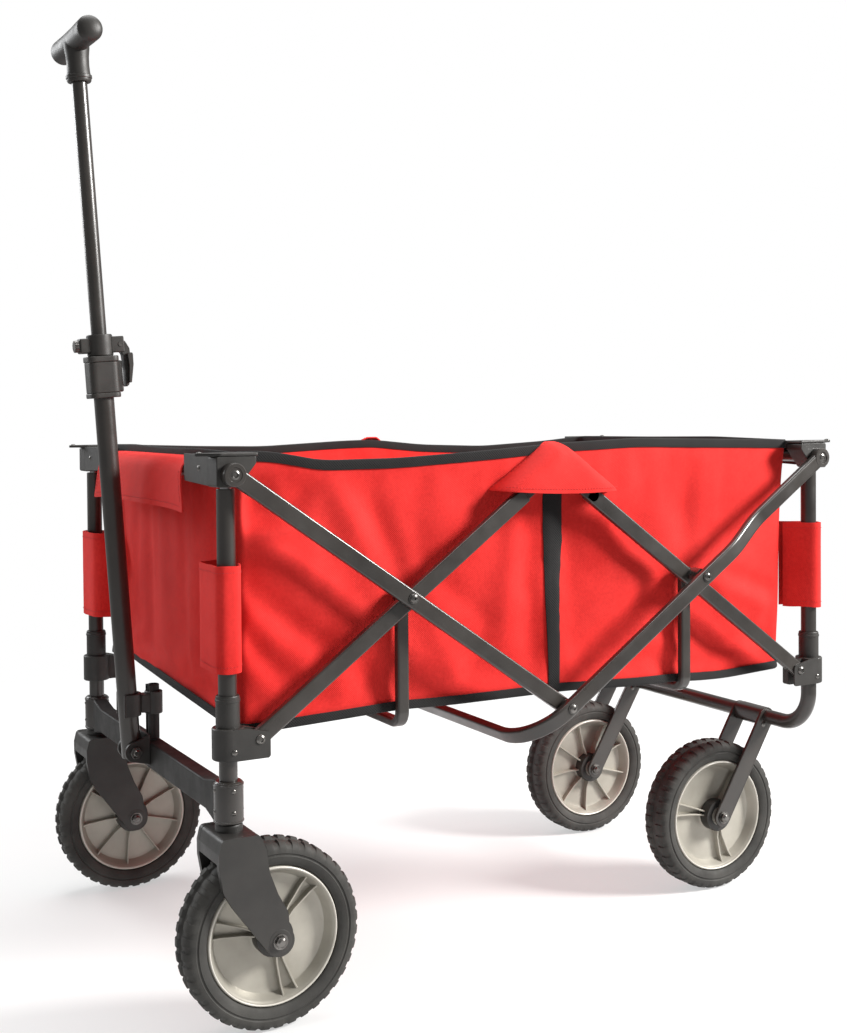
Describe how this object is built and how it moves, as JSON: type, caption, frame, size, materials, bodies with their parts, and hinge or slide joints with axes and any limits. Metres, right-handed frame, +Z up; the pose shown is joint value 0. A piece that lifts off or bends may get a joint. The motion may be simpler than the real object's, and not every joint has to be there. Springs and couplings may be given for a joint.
{
  "type": "folding camp wagon",
  "caption": "Folding wagon with a fabric tub on a scissor-linked tube frame, swivelling front casters, fixed rear wheels and a telescopic pull handle with a T grip.",
  "frame": {"origin": "centre of the footprint of the outline box, on the ground", "axes": "+Z up, +X towards the rear wheels, the pull handle at the -X end, left side at -Y"},
  "size_m": [0.9801, 0.5954, 1.122],
  "materials": {
    "frame_paint": "satin black powder coat on steel tube",
    "steel": "zinc plated steel",
    "black_plastic": "moulded black plastic, fine texture",
    "rim_plastic": "moulded grey plastic",
    "tyre": "solid black tyre with blocks on both shoulders",
    "red_fabric": "coated woven polyester",
    "black_webbing": "black woven binding, piping and straps of the tub"
  },
  "bodies": {
    "front_frame": {"front_post_left": "frame_paint", "front_post_right": "frame_paint", "caster_socket_left": "frame_paint", "caster_socket_right": "frame_paint", "front_lower_bracket_left": "black_plastic", "front_lower_bracket_right": "black_plastic", "front_crossbar": "frame_paint", "centre_post": "frame_paint", "handle_clip": "black_plastic", "handle_hinge_bracket": "black_plastic", "handle_hinge_pin": "steel"},
    "front_inner_arms": {"front_inner_arm_left": "frame_paint", "front_inner_arm_right": "frame_paint"},
    "front_long_arms": {"front_long_arm_left": "frame_paint", "front_long_arm_right": "frame_paint"},
    "front_floor_support": {"front_floor_support": "frame_paint"},
    "front_uppers": {"front_slide_rod_left": "steel", "front_slide_rod_right": "steel", "front_top_bracket_left": "black_plastic", "front_top_bracket_right": "black_plastic", "front_top_rail": "frame_paint", "tub_front": "red_fabric", "tub_side_left": "red_fabric", "tub_side_right": "red_fabric", "tub_floor": "red_fabric"},
    "rear_long_arms": {"rear_long_arm_frame": "frame_paint"},
    "rear_inner_arms": {"rear_inner_arm_left": "frame_paint", "rear_inner_arm_right": "frame_paint"},
    "rear_floor_support": {"rear_floor_support": "frame_paint"},
    "rear_uppers": {"rear_slide_rod_left": "steel", "rear_slide_rod_right": "steel", "rear_top_bracket_left": "black_plastic", "rear_top_bracket_right": "black_plastic", "rear_top_rail": "frame_paint", "tub_rear": "red_fabric"},
    "rear_frame": {"rear_frame": "frame_paint", "rear_lower_bracket_left": "black_plastic", "rear_lower_bracket_right": "black_plastic", "rear_wheel_bracket_left": "frame_paint", "rear_wheel_bracket_right": "frame_paint", "rear_axle_left": "steel", "rear_axle_right": "steel"},
    "handle_lower": {"handle_lower_tube": "frame_paint", "handle_clamp_collar": "black_plastic"},
    "handle_upper": {"handle_upper_tube": "frame_paint", "handle_grip": "black_plastic"},
    "clamp_lever": {"handle_clamp_lever": "black_plastic"},
    "caster_left": {"caster_fork_left": "black_plastic", "caster_axle_left": "steel"},
    "front_wheel_left": {"front_tyre_left": "tyre", "front_rim_left": "rim_plastic"},
    "rear_wheel_left": {"rear_tyre_left": "tyre", "rear_rim_left": "rim_plastic"},
    "caster_right": {"caster_fork_right": "black_plastic", "caster_axle_right": "steel"},
    "front_wheel_right": {"front_tyre_right": "tyre", "front_rim_right": "rim_plastic"},
    "rear_wheel_right": {"rear_tyre_right": "tyre", "rear_rim_right": "rim_plastic"}
  },
  "joints": [
    {"name": "fold", "type": "hinge", "parent": "front_frame", "child": "front_inner_arms", "pos_m": [-0.35845, 0, 0.3155], "axis": [0, -1, 0], "range_deg": [0, 43.84], "deforming": ["tub_side_left", "tub_side_right", "tub_floor"]},
    {"name": "front_long_hinge", "type": "hinge", "parent": "front_inner_arms", "child": "front_long_arms", "pos_m": [-0.17645, 0, 0.4545], "axis": [0, -1, 0], "range_deg": [-85, 0]},
    {"name": "front_support_hinge", "type": "hinge", "parent": "front_inner_arms", "child": "front_floor_support", "pos_m": [-0.17645, 0, 0.4545], "axis": [0, -1, 0], "range_deg": [-42.5, 0]},
    {"name": "front_top_hinge", "type": "hinge", "parent": "front_long_arms", "child": "front_uppers", "pos_m": [-0.38795, 0, 0.5985], "axis": [0, -1, 0], "range_deg": [0, 41.16]},
    {"name": "centre_hinge", "type": "hinge", "parent": "front_long_arms", "child": "rear_long_arms", "pos_m": [0.02905, 0, 0.311], "axis": [0, -1, 0], "range_deg": [0, 85]},
    {"name": "rear_inner_hinge", "type": "hinge", "parent": "rear_long_arms", "child": "rear_inner_arms", "pos_m": [0.23455, 0, 0.4545], "axis": [0, -1, 0], "range_deg": [-85, 0]},
    {"name": "rear_support_hinge", "type": "hinge", "parent": "rear_long_arms", "child": "rear_floor_support", "pos_m": [0.23455, 0, 0.4545], "axis": [0, -1, 0], "range_deg": [-42.5, 0]},
    {"name": "rear_top_hinge", "type": "hinge", "parent": "rear_long_arms", "child": "rear_uppers", "pos_m": [0.44605, 0, 0.5985], "axis": [0, -1, 0], "range_deg": [-41.16, 0]},
    {"name": "rear_frame_hinge", "type": "hinge", "parent": "rear_inner_arms", "child": "rear_frame", "pos_m": [0.41655, 0, 0.3155], "axis": [0, -1, 0], "range_deg": [0, 43.84]},
    {"name": "caster_swivel_left", "type": "hinge", "parent": "front_frame", "child": "caster_left", "pos_m": [-0.38895, -0.253, 0.24], "axis": [0, 0, 1], "continuous": true},
    {"name": "front_wheel_spin_left", "type": "hinge", "parent": "caster_left", "child": "front_wheel_left", "pos_m": [-0.34495, -0.253, 0.1016], "axis": [0, 1, 0], "continuous": true},
    {"name": "rear_wheel_spin_left", "type": "hinge", "parent": "rear_frame", "child": "rear_wheel_left", "pos_m": [0.36505, -0.147, 0.1016], "axis": [0, 1, 0], "continuous": true},
    {"name": "caster_swivel_right", "type": "hinge", "parent": "front_frame", "child": "caster_right", "pos_m": [-0.38895, 0.253, 0.24], "axis": [0, 0, 1], "continuous": true},
    {"name": "front_wheel_spin_right", "type": "hinge", "parent": "caster_right", "child": "front_wheel_right", "pos_m": [-0.34495, 0.253, 0.1016], "axis": [0, 1, 0], "continuous": true},
    {"name": "rear_wheel_spin_right", "type": "hinge", "parent": "rear_frame", "child": "rear_wheel_right", "pos_m": [0.36505, 0.147, 0.1016], "axis": [0, 1, 0], "continuous": true},
    {"name": "handle_swing", "type": "hinge", "parent": "front_frame", "child": "handle_lower", "pos_m": [-0.41765, 0, 0.254], "axis": [0, -1, 0], "range_deg": [0, 100]},
    {"name": "handle_slide", "type": "slide", "parent": "handle_lower", "child": "handle_upper", "axis": [-0.0671, 0, 0.9977], "range_m": [-0.27, 0.06]},
    {"name": "clamp_lever_swing", "type": "hinge", "parent": "handle_lower", "child": "clamp_lever", "pos_m": [-0.42833, 0, 0.7479], "axis": [0, -1, 0], "range_deg": [0, 110]}
  ],
  "couplings": [
    {"joint": "front_long_hinge", "follows": "fold", "ratio": -1.9387},
    {"joint": "front_support_hinge", "follows": "fold", "ratio": -0.96935},
    {"joint": "front_top_hinge", "follows": "fold", "ratio": 0.9387},
    {"joint": "centre_hinge", "follows": "fold", "ratio": 1.9387},
    {"joint": "rear_inner_hinge", "follows": "fold", "ratio": -1.9387},
    {"joint": "rear_support_hinge", "follows": "fold", "ratio": -0.96935},
    {"joint": "rear_top_hinge", "follows": "fold", "ratio": -0.9387},
    {"joint": "rear_frame_hinge", "follows": "fold", "ratio": 1}
  ]
}
